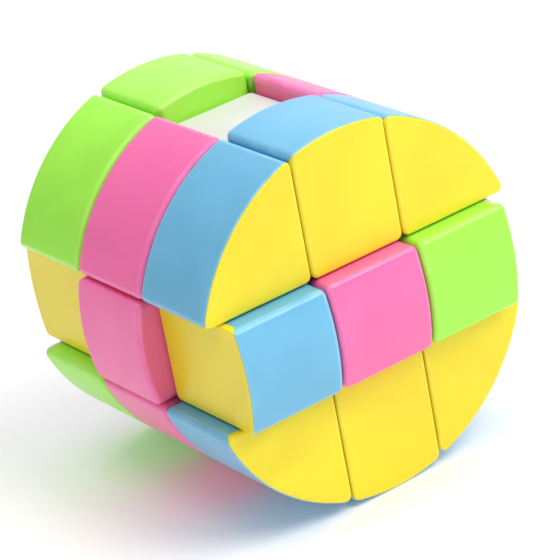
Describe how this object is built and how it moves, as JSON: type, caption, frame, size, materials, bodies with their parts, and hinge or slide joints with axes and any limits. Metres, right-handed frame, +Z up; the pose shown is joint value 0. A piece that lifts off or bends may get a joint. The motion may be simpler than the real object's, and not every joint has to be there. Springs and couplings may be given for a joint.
{
  "type": "barrel-shaped twisty puzzle",
  "caption": "Barrel-shaped twisty puzzle in coloured plastic with three stacked layers; the top and bottom layers turn on a spring-loaded core, and the middle row stands proud of the flat ends.",
  "frame": {"origin": "centre of the core, which is the centre of the whole puzzle", "axes": "+Z up through the top layer and along both layer hinges; -Y out of the front round end, along the barrel's own axis; -X to the left as the front end is faced"},
  "size_m": [0.0658, 0.0658, 0.0658],
  "materials": {
    "yellow_plastic": "satin gloss, moulded through",
    "white_plastic": "satin gloss, moulded through",
    "blue_plastic": "satin gloss, moulded through",
    "green_plastic": "satin gloss, moulded through",
    "pink_plastic": "satin gloss, moulded through",
    "mechanism_plastic": "smooth, lightly greased",
    "core_plastic": "smooth nylon",
    "steel": "zinc plated"
  },
  "bodies": {
    "middle_layer": {"back_centre_base": "mechanism_plastic", "back_centre_cap": "pink_plastic", "core": "core_plastic", "core_screws": "steel", "core_springs": "steel", "front_centre_base": "mechanism_plastic", "front_centre_cap": "pink_plastic", "left_centre_base": "mechanism_plastic", "left_centre_cap": "pink_plastic", "middle_back_left_edge_end_shell": "yellow_plastic", "middle_back_left_edge_side_shell": "blue_plastic", "middle_back_right_edge_end_shell": "white_plastic", "middle_back_right_edge_side_shell": "green_plastic", "middle_edge_feet": "mechanism_plastic", "middle_front_left_edge_end_shell": "yellow_plastic", "middle_front_left_edge_side_shell": "blue_plastic", "middle_front_right_edge_end_shell": "white_plastic", "middle_front_right_edge_side_shell": "green_plastic", "right_centre_base": "mechanism_plastic", "right_centre_cap": "pink_plastic", "spring_washers": "steel"},
    "top_layer": {"top_back_edge_end_shell": "white_plastic", "top_back_edge_side_shell": "green_plastic", "top_back_left_corner_end_shell": "white_plastic", "top_back_left_corner_side_shell": "green_plastic", "top_back_right_corner_end_shell": "white_plastic", "top_back_right_corner_side_shell": "green_plastic", "top_centre_base": "mechanism_plastic", "top_centre_cap": "white_plastic", "top_corner_feet": "mechanism_plastic", "top_edge_feet": "mechanism_plastic", "top_front_edge_end_shell": "yellow_plastic", "top_front_edge_side_shell": "blue_plastic", "top_front_left_corner_end_shell": "yellow_plastic", "top_front_left_corner_side_shell": "blue_plastic", "top_front_right_corner_end_shell": "yellow_plastic", "top_front_right_corner_side_shell": "blue_plastic", "top_left_edge_shell": "pink_plastic", "top_right_edge_shell": "pink_plastic"},
    "bottom_layer": {"bottom_back_edge_end_shell": "white_plastic", "bottom_back_edge_side_shell": "green_plastic", "bottom_back_left_corner_end_shell": "white_plastic", "bottom_back_left_corner_side_shell": "green_plastic", "bottom_back_right_corner_end_shell": "white_plastic", "bottom_back_right_corner_side_shell": "green_plastic", "bottom_centre_base": "mechanism_plastic", "bottom_centre_cap": "yellow_plastic", "bottom_corner_feet": "mechanism_plastic", "bottom_edge_feet": "mechanism_plastic", "bottom_front_edge_end_shell": "yellow_plastic", "bottom_front_edge_side_shell": "blue_plastic", "bottom_front_left_corner_end_shell": "yellow_plastic", "bottom_front_left_corner_side_shell": "blue_plastic", "bottom_front_right_corner_end_shell": "yellow_plastic", "bottom_front_right_corner_side_shell": "blue_plastic", "bottom_left_edge_shell": "pink_plastic", "bottom_right_edge_shell": "pink_plastic"}
  },
  "joints": [
    {"name": "top_layer_turn", "type": "hinge", "parent": "middle_layer", "child": "top_layer", "pos_m": [0, 0, 0], "axis": [0, 0, 1], "continuous": true},
    {"name": "bottom_layer_turn", "type": "hinge", "parent": "middle_layer", "child": "bottom_layer", "pos_m": [0, 0, 0], "axis": [0, 0, 1], "continuous": true}
  ]
}
